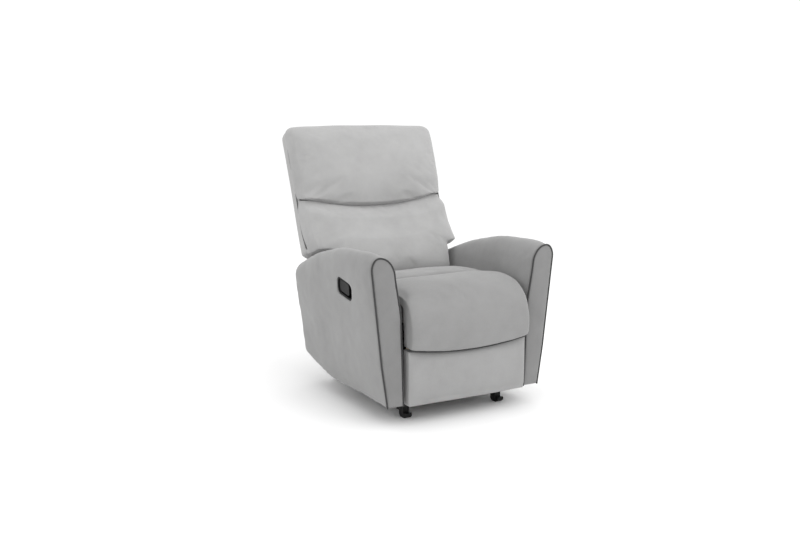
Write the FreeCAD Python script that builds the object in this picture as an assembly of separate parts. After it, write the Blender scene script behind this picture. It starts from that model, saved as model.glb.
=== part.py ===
import FreeCAD, Part
import math
import os

# Manual recliner armchair, in millimetres.
# The sitter faces -Y, +Z is up, the floor is z = 0, and x = 0 is the middle of the seat.
# "right" and "left" are the sitter's, so right is -X. The release handle is in the right arm.
# Each pair is drawn once on the +X side, and its twin is the mirror image.

os.makedirs("parts", exist_ok=True)
V = FreeCAD.Vector

# ---------------------------------------------------------------- driving dimensions
CLEAR = 0.25          # radial clearance of every turning pivot
PLATE = 3.0           # thickness of linkage plates
PLATE_GAP = 1.0       # gap between neighbouring linkage plates
HEAD = 1.5            # thickness of a rivet head
PIN_R = 4.0           # rivet shank radius
HEAD_R = 7.0          # rivet head radius
HEAD_PLAY = 0.15      # play between a rivet head and the plate that turns under it
EYE_R = 12.0          # end radius of a linkage bar

# overall
INNER_HALF = 258.0    # half width between the arms at their foot

# base
RAIL_X = INNER_HALF - 68.0  # inner face of a floor rail
RAIL_W = 19.0         # floor rail width
RAIL_H = 30.0         # floor rail height
RAIL_WALL = 2.0       # floor rail wall
RAIL_FRONT = -338.0   # front end of the floor rails
RAIL_REAR = 240.0     # rear end of the floor rails
FOOT_H = 30.0         # height of the glides under the rails
FOOT_WALL = 3.0       # wall of the front toe caps
TOE_L = 46.0          # how far a toe cap covers its rail
TOE_TIP = 24.0        # how far the upturned toe reaches ahead of its rail
HEEL_L = 42.0         # length of a rear glide
TUBE_S = 30.0         # side of the square cross tubes
TUBE_WALL = 2.0       # wall of the square cross tubes
FRONT_TUBE_Y = -140.0
REAR_TUBE_Y = 30.0

# seat
SEAT_FRAME_Z = 312.0  # underside of the seat frame
SEAT_FRAME_H = 36.0   # height of the seat frame rails
SEAT_RAIL_W = 27.0    # width of the seat side rails
SEAT_FRAME_FRONT = -320.0
SEAT_FRAME_REAR = 132.0
WEB_W = 50.0          # webbing strap width
WEB_T = 2.0           # webbing strap thickness
WEB_PITCH = 115.0
CUSHION_HALF = INNER_HALF  # half width of the seat cushion
CUSHION_FRONT = -362.0
CUSHION_REAR = 144.0
CUSHION_T = 122.0     # seat cushion thickness at its edges
CUSHION_CROWN = 5.0   # extra height in the middle of the seat cushion
CUSHION_FALL = 26.0   # how much lower the cushion is at its rear

# swing links that carry the seat
SWING_L = 130.0       # distance between the two pivots of a swing link
SWING_LEAN = 12.0     # degrees that the links lean rearward at rest
SWING_Z = 110.0       # height of the lower pivots
SWING_FRONT_Y = -190.0
SWING_REAR_Y = 110.0
SWING_EYE = 14.0

# footrest linkage: the footrest turns about a fixed pole ahead of the seat's front edge
POLE = (-497.0, 492.0)
DRIVE_PIVOT = (-290.0, 300.0)
FOOT_PIVOT = (-385.0, 345.0)
LINK_STEP = 55.0      # distance between the drive pivot and the idler pivot
CRANK_STEP = 50.0     # distance between the two pivots on the footrest bracket
TORQUE_R = 9.0        # torque tube radius
TORQUE_WALL = 1.5

# footrest panel
BOARD_HALF = INNER_HALF - 24.0
BOARD_Y = -412.0      # front face of the footrest board
BOARD_T = 12.0
BOARD_Z0 = 75.0
BOARD_Z1 = 438.0
PAD_HALF = INNER_HALF - 7.0  # half width of the footrest pads
PAD_Z0 = 70.0
PAD_SEAM_Z = 264.0    # seam between the lower and the upper footrest pad
PAD_Z1 = 469.0
LOWER_PAD_T = 40.0
UPPER_PAD_T = 69.0
PAD_OVER = 18.0       # how far the upper pad rolls over the board's top edge

# arms
ARM_FRONT = -429.0
ARM_REAR = 268.0
ARM_REAR_LEAN = 0.038 # how far the rear edge leans back for each mm of height
ARM_FOOT_OUT = INNER_HALF + 61.0  # outer face at the bottom
ARM_FOOT_Z = 73.5     # underside at the front
ARM_REAR_RISE = 60.0  # how much higher the underside is at the rear
ARM_WAIST_Z = 217.0   # the outer face flares more below this height
ARM_LOW_FLARE = 0.152
ARM_FLARE = 0.11
ARM_SEAT_Z = 400.0    # the inner face flares above this height
ARM_TOP = 613.0       # ridge of the arm at its highest
ARM_TOP_Y = -330.0
ARM_TOP_DROP = 136.0  # how far the ridge falls to the rear
ARM_PANEL_T = 12.0    # thickness of the front panels
ARM_BOARD_X = INNER_HALF + 30.0  # inner face of the arm's timber board
ARM_BOARD_T = 18.0
ARM_SKIN = 12.0       # padding outside the hollow of the arm
ARM_HOLLOW_Z0 = 142.0
ARM_HOLLOW_Z1 = 470.0
ARM_HOLLOW_FRONT = -392.0
ARM_HOLLOW_REAR = 218.0
REAR_PANEL_T = 11.0   # fixed panel that closes the rear below the back
REAR_PANEL_INSET = 13.0
REAR_PANEL_Z0 = 145.0
REAR_PANEL_Z1 = 332.0

# back, drawn upright about its own lower front edge and then leaned
LEAN = 21.6           # degrees from upright at rest
BACK_Y = 180.0        # the back's lower front edge, at the crease with the seat
BACK_Z = 430.0
BACK_TOP = 646.0      # height of the back above the crease, along the lean
BACK_LOW = -58.0      # lower end of the back's shell
BACK_HALF = INNER_HALF + 4.0  # half width between the arms
EAR_HALF = INNER_HALF + 75.0  # half width above the arms
EAR_LOW = 112.0       # underside of the ears
CORNER_R = 38.0       # corners of the back's top
SHELL_DEPTH = 74.0    # rear face behind the front edge plane
SHELL_WALL = 8.0      # rear wall of the shell
SHELL_SIDE = 13.0     # side walls of the shell
SHELL_FRONT = 12.0    # front edge of the side walls
POST_D = 26.0
POST_FRONT = 20.0
RAIL_D = 18.0         # depth of the back's cross rails
SEAM_Z = 312.0        # seam between the lumbar pad and the head pad
LUMBAR_CROWN = 84.0   # how far the lumbar pad stands ahead of the edge plane
HEAD_CROWN = 58.0     # how far the head pad stands ahead of it
HINGE_Y = 180.0       # hinge between seat and back
HINGE_Z = 300.0

# release handle in the right arm
CUP_Y = -200.0
CUP_Z = 464.0
CUP_TILT = 10.0       # degrees that its front end is lower
CUP_L = 116.0
CUP_H = 66.0
CUP_R = 24.0
CUP_DEPTH = 26.0
CUP_WALL = 3.0
CUP_LIP = 2.5         # how far the bezel stands proud of the arm
LEVER_T = 6.0
LEVER_L = 70.0
LEVER_GAP = 1.2
LEVER_PIN_R = 2.5
BARREL_H = 32.0       # height of the lever's hinge barrel
CABLE_R = 2.5
CABLE_ROOM = 6.0      # radius of the passage around the cable
CABLE_END_Z = 106.0   # height of the cable where its bracket holds it

# ---------------------------------------------------------------- places that follow from them
SEAT_TOP = SEAT_FRAME_Z + SEAT_FRAME_H
RAIL_OUT = RAIL_X + RAIL_W
RAIL_TOP = FOOT_H + RAIL_H
UPRIGHT_X = RAIL_OUT
SWING_X = UPRIGHT_X + PLATE + PLATE_GAP
SEAT_PLATE_X = SWING_X + PLATE + PLATE_GAP
SEAT_PLATE_OUT = SEAT_PLATE_X + PLATE
DRIVE_X = SEAT_PLATE_OUT + 2 * HEAD + PLATE_GAP
CARRIER_X = DRIVE_X + PLATE + PLATE_GAP
POST_X = DRIVE_X + PLATE
POST_W = BACK_HALF - SHELL_SIDE - 1.0 - POST_X
SWING_DY = SWING_L * math.sin(math.radians(SWING_LEAN))
SWING_DZ = SWING_L * math.cos(math.radians(SWING_LEAN))
SEAT_FRONT_PIVOT = (SWING_FRONT_Y + SWING_DY, SWING_Z + SWING_DZ)
SEAT_REAR_PIVOT = (SWING_REAR_Y + SWING_DY, SWING_Z + SWING_DZ)
ARM_Y = POLE[0] - DRIVE_PIVOT[0]
ARM_Z = POLE[1] - DRIVE_PIVOT[1]
CARRIER_PIVOT = (FOOT_PIVOT[0] - ARM_Y, FOOT_PIVOT[1] - ARM_Z)
CONTROL_PIVOT = (CARRIER_PIVOT[0], CARRIER_PIVOT[1] - CRANK_STEP)
FOOT_LOW_PIVOT = (FOOT_PIVOT[0], FOOT_PIVOT[1] - CRANK_STEP)
IDLER_PIVOT = (DRIVE_PIVOT[0] + LINK_STEP, DRIVE_PIVOT[1])
IDLER_END = (CARRIER_PIVOT[0] + LINK_STEP, CARRIER_PIVOT[1])


# ---------------------------------------------------------------- shapes
def save(name, shape):
    shape.exportStep("parts/" + name + ".step")


def save_pair(name, shape):
    save(name + "_left", shape)
    save(name + "_right", mirrored(shape))


def mirrored(shape):
    return shape.mirror(V(0, 0, 0), V(1, 0, 0))


def block(x0, x1, y0, y1, z0, z1):
    return Part.makeBox(x1 - x0, y1 - y0, z1 - z0, V(x0, y0, z0))


def slab_x(points, x0, x1):
    """A flat plate across X whose outline is given as (y, z) points."""
    corners = [V(x0, y, z) for y, z in points]
    face = Part.Face(Part.makePolygon(corners + corners[:1]))
    return face.extrude(V(x1 - x0, 0, 0))


def slab_y(points, y0, y1):
    """A flat plate across Y whose outline is given as (x, z) points."""
    corners = [V(x, y0, z) for x, z in points]
    face = Part.Face(Part.makePolygon(corners + corners[:1]))
    return face.extrude(V(0, y1 - y0, 0))


def rod_x(place, radius, x0, x1):
    return Part.makeCylinder(radius, x1 - x0, V(x0, place[0], place[1]), V(1, 0, 0))


def bar(first, last, radius, x0, x1):
    """A straight bar with round ends about two pivots."""
    dy = last[0] - first[0]
    dz = last[1] - first[1]
    length = math.hypot(dy, dz)
    ny = -dz / length * radius
    nz = dy / length * radius
    sides = [
        (first[0] + ny, first[1] + nz),
        (last[0] + ny, last[1] + nz),
        (last[0] - ny, last[1] - nz),
        (first[0] - ny, first[1] - nz),
    ]
    body = slab_x(sides, x0, x1)
    ends = [rod_x(first, radius, x0, x1), rod_x(last, radius, x0, x1)]
    return body.fuse(ends).removeSplitter()


def rivet(place, fixed_x, far_x):
    """A headed pin held by the plate at fixed_x, which carries the plate at far_x."""
    low = min(fixed_x, far_x)
    high = max(fixed_x, far_x) + PLATE
    inner_play = HEAD_PLAY if far_x < fixed_x else 0.0
    outer_play = HEAD_PLAY - inner_play
    shank = rod_x(place, PIN_R, low - HEAD / 2, high + HEAD / 2)
    inner = rod_x(place, HEAD_R, low - inner_play - HEAD, low - inner_play)
    outer = rod_x(place, HEAD_R, high + outer_play, high + outer_play + HEAD)
    return shank.fuse([inner, outer])


def bored(plate, places, x0, radius=PIN_R):
    """The plate with a running bore at each place."""
    for place in places:
        plate = plate.cut(rod_x(place, radius + CLEAR, x0 - 1, x0 + PLATE + 1))
    return plate


def box_tube(outer, inner_wall, axis):
    """A square tube along X or Y, given its outer limits."""
    x0, x1, y0, y1, z0, z1 = outer
    wall = inner_wall
    tube = block(*outer)
    if axis == "x":
        return tube.cut(block(x0 - 1, x1 + 1, y0 + wall, y1 - wall, z0 + wall, z1 - wall))
    return tube.cut(block(x0 + wall, x1 - wall, y0 - 1, y1 + 1, z0 + wall, z1 - wall))


def rounded(shape, radius, picks):
    """The shape with a fillet on each edge that the test picks."""
    edges = [edge for edge in shape.Edges if picks(edge)]
    return shape.makeFillet(radius, edges)


def along(axis):
    """A test for straight edges that run along X, Y or Z."""
    def test(edge):
        if not isinstance(edge.Curve, Part.Line):
            return False
        first = edge.Vertexes[0].Point
        last = edge.Vertexes[-1].Point
        run = last - first
        return abs(getattr(run, axis)) > 0.999 * run.Length
    return test


# ---------------------------------------------------------------- base
def base():
    rail = box_tube(
        (RAIL_X, RAIL_OUT, RAIL_FRONT, RAIL_REAR, FOOT_H, RAIL_TOP), RAIL_WALL, "y"
    )
    for y in (SWING_FRONT_Y, SWING_REAR_Y):
        foot = slab_x(
            [
                (y - 26, FOOT_H),
                (y + 26, FOOT_H),
                (y + SWING_EYE, SWING_Z),
                (y - SWING_EYE, SWING_Z),
            ],
            UPRIGHT_X,
            UPRIGHT_X + PLATE,
        )
        eye = rod_x((y, SWING_Z), SWING_EYE, UPRIGHT_X, UPRIGHT_X + PLATE)
        rail = rail.fuse([foot, eye, rivet((y, SWING_Z), UPRIGHT_X, SWING_X)])
    save_pair("floor_rail", rail.removeSplitter())

    cap_rear = RAIL_FRONT + TOE_L
    tip = RAIL_FRONT - TOE_TIP
    toe = slab_x(
        [
            (cap_rear, FOOT_H - 8),
            (cap_rear, FOOT_H + 8),
            (cap_rear - 10, RAIL_TOP + FOOT_WALL),
            (RAIL_FRONT - FOOT_WALL, RAIL_TOP + FOOT_WALL),
            (RAIL_FRONT - FOOT_WALL, FOOT_H - 10),
            (RAIL_FRONT - 8, FOOT_H - 15),
            (tip + 12, FOOT_H - 15),
            (tip + 6, FOOT_H - 8),
            (tip, FOOT_H - 10),
            (tip + 1, FOOT_H - 18),
            (tip + 7, 4),
            (tip + 16, 0),
            (RAIL_FRONT + 18, 0),
            (RAIL_FRONT + 26, 8),
            (RAIL_FRONT + 28, FOOT_H - 8),
        ],
        RAIL_X - FOOT_WALL,
        RAIL_OUT + FOOT_WALL,
    )
    toe = toe.cut(block(RAIL_X, RAIL_OUT, RAIL_FRONT, cap_rear + 1, FOOT_H, RAIL_TOP))
    save_pair("front_toe_glide", toe)
    heel = block(RAIL_X, RAIL_OUT, RAIL_REAR - HEEL_L - 8, RAIL_REAR - 8, 0, FOOT_H)
    save_pair("rear_glide", rounded(heel, 6, along("z")))

    for name, y in (("front", FRONT_TUBE_Y), ("rear", REAR_TUBE_Y)):
        half = TUBE_S / 2
        limits = (-ARM_BOARD_X, ARM_BOARD_X, y - half, y + half, RAIL_TOP, RAIL_TOP + TUBE_S)
        save(name + "_cross_tube", box_tube(limits, TUBE_WALL, "x"))


# ---------------------------------------------------------------- arms
def arm_top(y):
    """Height of the arm's ridge: highest near its front, and falling to the rear."""
    if y < ARM_TOP_Y:
        return ARM_TOP - 13.0 * ((ARM_TOP_Y - y) / (ARM_TOP_Y - ARM_FRONT)) ** 2
    return ARM_TOP - ARM_TOP_DROP * ((y - ARM_TOP_Y) / (ARM_REAR - ARM_TOP_Y)) ** 2.2


def arm_bottom(y):
    """Underside of the arm: level at the front and curving up to the rear."""
    return ARM_FOOT_Z + ARM_REAR_RISE * (max(0.0, y - 10.0) / (ARM_REAR - 10.0)) ** 1.25


def arm_outer(z):
    """The arm's outer face, which flares outward."""
    waist = ARM_FOOT_OUT + ARM_LOW_FLARE * (ARM_WAIST_Z - ARM_FOOT_Z)
    if z < ARM_WAIST_Z:
        return waist - ARM_LOW_FLARE * (ARM_WAIST_Z - z)
    return waist + ARM_FLARE * (z - ARM_WAIST_Z)


def arm_inner(z):
    """The arm's inner face, which is nearly upright below the seat."""
    face = INNER_HALF + 0.033 * (z - ARM_FOOT_Z)
    return face + 0.137 * max(0.0, z - ARM_SEAT_Z)


def arm_section(y):
    """Closed outline of the arm at one place along it."""
    low = arm_bottom(y)
    high = arm_top(y)
    outside = high - 42.0
    inside = high - 74.0
    lean = ARM_REAR_LEAN if y >= ARM_REAR else 0.0

    def at(x, z):
        return V(x, y + lean * (z - low), z)

    foot_in = at(arm_inner(low), low)
    foot_out = at(arm_outer(low), low)
    waist_out = at(arm_outer(ARM_WAIST_Z), ARM_WAIST_Z)
    seat_in = at(arm_inner(ARM_SEAT_Z), ARM_SEAT_Z)
    shoulder_out = at(arm_outer(outside), outside)
    shoulder_in = at(arm_inner(inside), inside)
    crown = Part.BSplineCurve()
    crown.interpolate(
        [
            shoulder_out,
            at(arm_outer(outside) - 3.0, high - 18.0),
            at(arm_outer(outside) - 30.0, high),
            at(arm_inner(inside) + 16.0, high - 30.0),
            shoulder_in,
        ]
    )
    return Part.Wire(
        [
            Part.makeLine(foot_in, foot_out),
            Part.makeLine(foot_out, waist_out),
            Part.makeLine(waist_out, shoulder_out),
            crown.toShape(),
            Part.makeLine(shoulder_in, seat_in),
            Part.makeLine(seat_in, foot_in),
        ]
    )


def arm_board():
    points = [
        (ARM_FRONT + ARM_PANEL_T, ARM_FOOT_Z + 3.0),
        (10.0, ARM_FOOT_Z + 3.0),
        (100.0, arm_bottom(100.0) + 3.5),
        (236.0, arm_bottom(236.0) + 3.5),
        (240.0, 440.0),
        (150.0, 478.0),
        (ARM_FRONT + ARM_PANEL_T, 478.0),
    ]
    return slab_x(points, ARM_BOARD_X, ARM_BOARD_X + ARM_BOARD_T)


def arms():
    y_first = ARM_FRONT + ARM_PANEL_T
    stations = [y_first, ARM_TOP_Y, -210.0, -90.0, 10.0, 100.0, 190.0, ARM_REAR]
    cover = Part.makeLoft([arm_section(y) for y in stations], True, True)
    panel = Part.Face(arm_section(ARM_FRONT)).extrude(V(0, ARM_PANEL_T, 0))
    board = arm_board()
    hollow_x = ARM_BOARD_X + ARM_BOARD_T
    hollow = slab_y(
        [
            (hollow_x, ARM_HOLLOW_Z0),
            (arm_outer(ARM_HOLLOW_Z0) - ARM_SKIN, ARM_HOLLOW_Z0),
            (arm_outer(217.0) - ARM_SKIN, 217.0),
            (arm_outer(ARM_HOLLOW_Z1) - ARM_SKIN, ARM_HOLLOW_Z1),
            (hollow_x, ARM_HOLLOW_Z1),
        ],
        ARM_HOLLOW_FRONT,
        ARM_HOLLOW_REAR,
    )
    cover = cover.cut(board).cut(hollow)
    for y in (FRONT_TUBE_Y, REAR_TUBE_Y):
        half = TUBE_S / 2
        cover = cover.cut(
            block(
                RAIL_OUT, ARM_BOARD_X, y - half, y + half, RAIL_TOP, RAIL_TOP + TUBE_S
            )
        )
    passage = cable(CABLE_ROOM)
    cup_room = placed_cup(cup_block(CUP_L - 2 * CUP_WALL, CUP_H - 2 * CUP_WALL, 0))
    right_cover = mirrored(cover).cut(passage).cut(cup_room)
    save("arm_cover_left", cover)
    save("arm_cover_right", right_cover)
    save_pair("arm_front_panel", panel)
    save("arm_board_left", board)
    save("arm_board_right", mirrored(board).cut(passage))

    low_half = arm_inner(REAR_PANEL_Z0)
    high_half = arm_inner(REAR_PANEL_Z1)
    rear_panel = slab_y(
        [
            (-low_half, REAR_PANEL_Z0),
            (low_half, REAR_PANEL_Z0),
            (high_half, REAR_PANEL_Z1),
            (-high_half, REAR_PANEL_Z1),
        ],
        ARM_REAR - REAR_PANEL_INSET,
        ARM_REAR - REAR_PANEL_INSET + REAR_PANEL_T,
    )
    save("rear_panel", rear_panel)


# ---------------------------------------------------------------- release handle and cable
def cup_block(length, height, proud):
    """A round-cornered block, long along Y, that enters the arm from x = -proud."""
    shape = Part.makeBox(
        CUP_DEPTH + proud, length, height, V(-proud, -length / 2, -height / 2)
    )
    return rounded(shape, min(CUP_R, height / 2 - 1), along("x"))


def placed_cup(shape):
    """The handle's pieces are drawn square to the arm and then set into its flare."""
    tilt = FreeCAD.Rotation(V(1, 0, 0), CUP_TILT)
    flare = FreeCAD.Rotation(V(0, 1, 0), -math.degrees(math.atan(ARM_FLARE)))
    copy = shape.copy()
    copy.Placement = FreeCAD.Placement(
        V(-arm_outer(CUP_Z), CUP_Y, CUP_Z), flare.multiply(tilt)
    )
    return copy


def handle():
    body = cup_block(CUP_L - 2 * CUP_WALL, CUP_H - 2 * CUP_WALL, 0)
    bezel = Part.makeBox(CUP_LIP, CUP_L, CUP_H, V(-CUP_LIP, -CUP_L / 2, -CUP_H / 2))
    bezel = rounded(bezel, CUP_R, along("x"))
    inner_l = CUP_L - 4 * CUP_WALL
    inner_h = CUP_H - 4 * CUP_WALL
    room = Part.makeBox(
        CUP_DEPTH - CUP_WALL + CUP_LIP + 1, inner_l, inner_h,
        V(-CUP_LIP - 1, -inner_l / 2, -inner_h / 2),
    )
    room = rounded(room, CUP_R - 2 * CUP_WALL, along("x"))
    # the pin ends inside the cup's wall, where its rounded corner begins
    pin_y = inner_l / 2 - LEVER_PIN_R - 6.0
    pin_x = 6.0
    cup = body.fuse(bezel).removeSplitter().cut(room)
    corner = CUP_R - 2 * CUP_WALL
    side_step = pin_y - (inner_l / 2 - corner)
    reach = inner_h / 2 - corner + math.sqrt(corner ** 2 - side_step ** 2)
    pin_h = 2 * reach + 0.4 * CUP_WALL
    pin = Part.makeCylinder(LEVER_PIN_R, pin_h, V(pin_x, pin_y, -pin_h / 2), V(0, 0, 1))
    cup = cup.cut(pin)
    save("handle_cup_right", placed_cup(cup))
    save("handle_pin_right", placed_cup(pin))

    paddle_h = inner_h - 2 * LEVER_GAP
    paddle = Part.makeBox(
        LEVER_T, LEVER_L, paddle_h - 8, V(1.0, pin_y - LEVER_L, -(paddle_h - 8) / 2)
    )
    front = pin_y - LEVER_L
    paddle = rounded(
        paddle, 10, lambda e: along("x")(e) and e.Vertexes[0].Point.y < front + 1
    )
    barrel = Part.makeCylinder(
        LEVER_PIN_R + 3.0, BARREL_H, V(pin_x, pin_y, -BARREL_H / 2), V(0, 0, 1)
    )
    bore = Part.makeCylinder(
        LEVER_PIN_R + CLEAR, paddle_h + 2, V(pin_x, pin_y, -paddle_h / 2 - 1), V(0, 0, 1)
    )
    lever = paddle.fuse(barrel).removeSplitter().cut(bore)
    save("handle_lever_right", placed_cup(lever))


def cable(radius):
    """Tube along the release cable's route, as straight runs joined by tangent arcs."""
    route = [
        V(-INNER_HALF - out, y, z) for out, y, z in (
            (89.0, CUP_Y + 57.0, CUP_Z), (88.0, CUP_Y + 104.0, CUP_Z - 9.0),
            (84.0, -50.0, 430.0), (76.0, -15.0, 385.0), (69.0, 5.0, 325.0),
            (62.0, 10.0, 262.0), (54.0, -2.0, 205.0), (32.0, -50.0, 160.0),
            (5.0, -102.0, 126.0), (-9.0, FRONT_TUBE_Y + 3.0, CABLE_END_Z),
        )
    ]
    edges = []
    start = route[0]
    for before, corner, after in zip(route, route[1:], route[2:]):
        back = (before - corner).normalize()
        ahead = (after - corner).normalize()
        trim = 0.45 * min((before - corner).Length, (after - corner).Length)
        enter = corner + back * trim
        leave = corner + ahead * trim
        middle = (back + ahead).normalize()
        half = 0.5 * back.getAngle(ahead)
        arc_r = trim * math.tan(half)
        inside = corner + middle * (arc_r / math.sin(half) - arc_r)
        edges.append(Part.LineSegment(start, enter).toShape())
        edges.append(Part.Arc(enter, inside, leave).toShape())
        start = leave
    edges.append(Part.LineSegment(start, route[-1]).toShape())
    path = Part.Wire(edges)
    direction = route[1] - route[0]
    ring = Part.Wire(Part.makeCircle(radius, route[0], direction))
    return path.makePipeShell([ring], True, False)


def cable_parts():
    save("release_cable", cable(CABLE_R))
    near = -INNER_HALF + 1.0
    far = -INNER_HALF + 17.0
    low = RAIL_TOP + TUBE_S
    bracket = block(near, far, FRONT_TUBE_Y + 3, FRONT_TUBE_Y + 5, low, CABLE_END_Z + 14.0)
    tab = block(near, far, FRONT_TUBE_Y - 9, FRONT_TUBE_Y + 5, low, low + 2)
    bracket = bracket.fuse(tab).removeSplitter()
    middle = V(-INNER_HALF + 9.0, FRONT_TUBE_Y - 6, CABLE_END_Z)
    eye = Part.makeCylinder(CABLE_R + 3, 20, middle, V(0, 1, 0))
    save("cable_bracket", bracket.cut(eye))


# ---------------------------------------------------------------- seat
def seat():
    rail_in = SEAT_PLATE_X - SEAT_RAIL_W
    side = block(
        rail_in, SEAT_PLATE_X, SEAT_FRAME_FRONT, SEAT_FRAME_REAR, SEAT_FRAME_Z, SEAT_TOP
    )
    save_pair("seat_side_rail", side)
    deep = 28.0
    front = block(
        -rail_in, rail_in, SEAT_FRAME_FRONT, SEAT_FRAME_FRONT + deep, SEAT_FRAME_Z, SEAT_TOP
    )
    rear = block(
        -rail_in, rail_in, SEAT_FRAME_REAR - deep, SEAT_FRAME_REAR, SEAT_FRAME_Z, SEAT_TOP
    )
    save("seat_front_rail", front)
    save("seat_rear_rail", rear)
    for number, x in enumerate((-WEB_PITCH, 0.0, WEB_PITCH), 1):
        strap = block(
            x - WEB_W / 2, x + WEB_W / 2, SEAT_FRAME_FRONT, SEAT_FRAME_REAR,
            SEAT_TOP, SEAT_TOP + WEB_T,
        )
        save("seat_webbing_" + str(number), strap)

    low = SEAT_TOP + WEB_T
    high = low + CUSHION_T
    middle = (CUSHION_FRONT + CUSHION_REAR) / 2
    side_edges = [
        Part.makeLine(V(0, CUSHION_FRONT, low), V(0, CUSHION_REAR, low)),
        Part.makeLine(V(0, CUSHION_REAR, low), V(0, CUSHION_REAR, high - CUSHION_FALL)),
        Part.Arc(
            V(0, CUSHION_REAR, high - CUSHION_FALL),
            V(0, middle, high + CUSHION_CROWN),
            V(0, CUSHION_FRONT, high),
        ).toShape(),
        Part.makeLine(V(0, CUSHION_FRONT, high), V(0, CUSHION_FRONT, low)),
    ]
    cushion = Part.Face(Part.Wire(side_edges)).extrude(V(2 * CUSHION_HALF, 0, 0))
    cushion.translate(V(-CUSHION_HALF, 0, 0))
    cushion = rounded(
        cushion, 16, lambda e: along("x")(e) and e.Vertexes[0].Point.z > low + 1
    )
    save("seat_cushion", cushion)

    front_eye = DRIVE_PIVOT[0] - 16
    plate = slab_x(
        [
            (front_eye, DRIVE_PIVOT[1] - 15),
            (front_eye, SEAT_FRAME_Z + 24),
            (SEAT_FRAME_REAR, SEAT_FRAME_Z + 24),
            (HINGE_Y + 15, HINGE_Z + 10),
            (HINGE_Y + 15, HINGE_Z - 12),
            (SEAT_REAR_PIVOT[0] + 15, SEAT_REAR_PIVOT[1] - 13),
            (SEAT_REAR_PIVOT[0] - 15, SEAT_REAR_PIVOT[1] - 13),
            (SEAT_REAR_PIVOT[0] - 34, DRIVE_PIVOT[1] - 15),
            (SEAT_FRONT_PIVOT[0] + 30, DRIVE_PIVOT[1] - 15),
            (SEAT_FRONT_PIVOT[0] + 15, SEAT_FRONT_PIVOT[1] - 13),
            (SEAT_FRONT_PIVOT[0] - 15, SEAT_FRONT_PIVOT[1] - 13),
            (SEAT_FRONT_PIVOT[0] - 30, DRIVE_PIVOT[1] - 15),
        ],
        SEAT_PLATE_X,
        SEAT_PLATE_OUT,
    )
    plate = plate.cut(
        rod_x(DRIVE_PIVOT, TORQUE_R + CLEAR, SEAT_PLATE_X - 1, SEAT_PLATE_OUT + 1)
    )
    pins = [
        rivet(SEAT_FRONT_PIVOT, SEAT_PLATE_X, SWING_X),
        rivet(SEAT_REAR_PIVOT, SEAT_PLATE_X, SWING_X),
        shouldered_rivet(IDLER_PIVOT),
        shouldered_rivet((HINGE_Y, HINGE_Z)),
    ]
    save_pair("seat_side_plate", plate.fuse(pins).removeSplitter())


def shouldered_rivet(place):
    """A pin from the seat plate across the gap to the plates outside it, with a collar."""
    collar = rod_x(place, HEAD_R, SEAT_PLATE_OUT, DRIVE_X - PLATE_GAP / 2)
    head_x = DRIVE_X + PLATE + HEAD_PLAY
    shank = rod_x(place, PIN_R, SEAT_PLATE_OUT, head_x)
    head = rod_x(place, HEAD_R, head_x, DRIVE_X + PLATE + PLATE_GAP / 2)
    return collar.fuse([shank, head])


# ---------------------------------------------------------------- seat swing links
def swing_links():
    for name, y in (("front", SWING_FRONT_Y), ("rear", SWING_REAR_Y)):
        low = (y, SWING_Z)
        high = (y + SWING_DY, SWING_Z + SWING_DZ)
        link = bar(low, high, EYE_R, SWING_X, SWING_X + PLATE)
        save_pair(name + "_swing_link", bored(link, [low, high], SWING_X))


# ---------------------------------------------------------------- footrest linkage
def footrest_links():
    drive = bar(DRIVE_PIVOT, CARRIER_PIVOT, EYE_R, DRIVE_X, DRIVE_X + PLATE)
    crank = bar(CARRIER_PIVOT, CONTROL_PIVOT, EYE_R, DRIVE_X, DRIVE_X + PLATE)
    web = slab_x([DRIVE_PIVOT, CARRIER_PIVOT, CONTROL_PIVOT], DRIVE_X, DRIVE_X + PLATE)
    boss = rod_x(DRIVE_PIVOT, TORQUE_R + 4, DRIVE_X, DRIVE_X + PLATE)
    drive = drive.fuse([crank, web, boss]).removeSplitter()
    drive = drive.cut(rod_x(DRIVE_PIVOT, TORQUE_R, DRIVE_X - 1, DRIVE_X + PLATE + 1))
    pins = [
        rivet(CARRIER_PIVOT, DRIVE_X, CARRIER_X),
        rivet(CONTROL_PIVOT, DRIVE_X, CARRIER_X),
    ]
    save_pair("drive_link", drive.fuse(pins).removeSplitter())
    half = DRIVE_X + PLATE
    tube = rod_x(DRIVE_PIVOT, TORQUE_R, -half, half)
    tube = tube.cut(rod_x(DRIVE_PIVOT, TORQUE_R - TORQUE_WALL, -half - 1, half + 1))
    save("torque_tube", tube)

    idler = bar(IDLER_PIVOT, IDLER_END, EYE_R, DRIVE_X, DRIVE_X + PLATE)
    save_pair("idler_link", bored(idler, [IDLER_PIVOT, IDLER_END], DRIVE_X))

    carrier = bar(CARRIER_PIVOT, FOOT_PIVOT, EYE_R, CARRIER_X, CARRIER_X + PLATE)
    tail = bar(CARRIER_PIVOT, IDLER_END, EYE_R, CARRIER_X, CARRIER_X + PLATE)
    carrier = carrier.fuse(tail).removeSplitter()
    carrier = bored(carrier, [CARRIER_PIVOT, FOOT_PIVOT], CARRIER_X)
    save_pair("carrier_link", carrier.fuse(rivet(IDLER_END, CARRIER_X, DRIVE_X)))

    control = bar(CONTROL_PIVOT, FOOT_LOW_PIVOT, EYE_R - 2, CARRIER_X, CARRIER_X + PLATE)
    save_pair("control_link", bored(control, [CONTROL_PIVOT, FOOT_LOW_PIVOT], CARRIER_X))


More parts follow.
